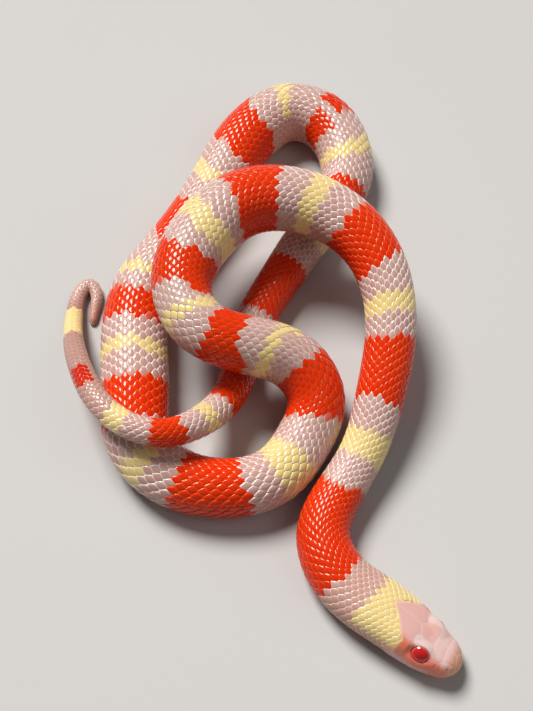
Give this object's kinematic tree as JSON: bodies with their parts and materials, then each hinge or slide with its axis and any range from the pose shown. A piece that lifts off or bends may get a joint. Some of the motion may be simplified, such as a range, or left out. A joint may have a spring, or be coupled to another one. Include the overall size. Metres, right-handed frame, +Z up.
{
  "type": "milk snake",
  "caption": "Life-size still model of a young albino milk snake, red, pink and pale yellow, coiled flat with its neck and head stretched out in front.",
  "frame": {"origin": "centre of the bounding box, on the surface the snake lies on", "axes": "+Z up out of the snake's back, +Y towards the far end of the long lower loop, +X to the side the head points to"},
  "size_m": [0.0568, 0.1006, 0.0185],
  "materials": {
    "skin": "smooth glossy scales in rings of red-orange, pinkish white and pale yellow",
    "eye": "clear, wet and ruby red"
  },
  "bodies": {
    "root": {"head": "skin", "lower_jaw": "skin", "eye_left": "eye", "eye_right": "eye", "neck": "skin", "trunk_01": "skin", "trunk_02": "skin", "trunk_03": "skin", "trunk_04": "skin", "trunk_05": "skin", "trunk_06": "skin", "trunk_07": "skin", "trunk_08": "skin", "trunk_09": "skin", "trunk_10": "skin", "trunk_11": "skin", "tail_base": "skin", "tail_middle": "skin", "tail_tip": "skin"}
  },
  "joints": []
}
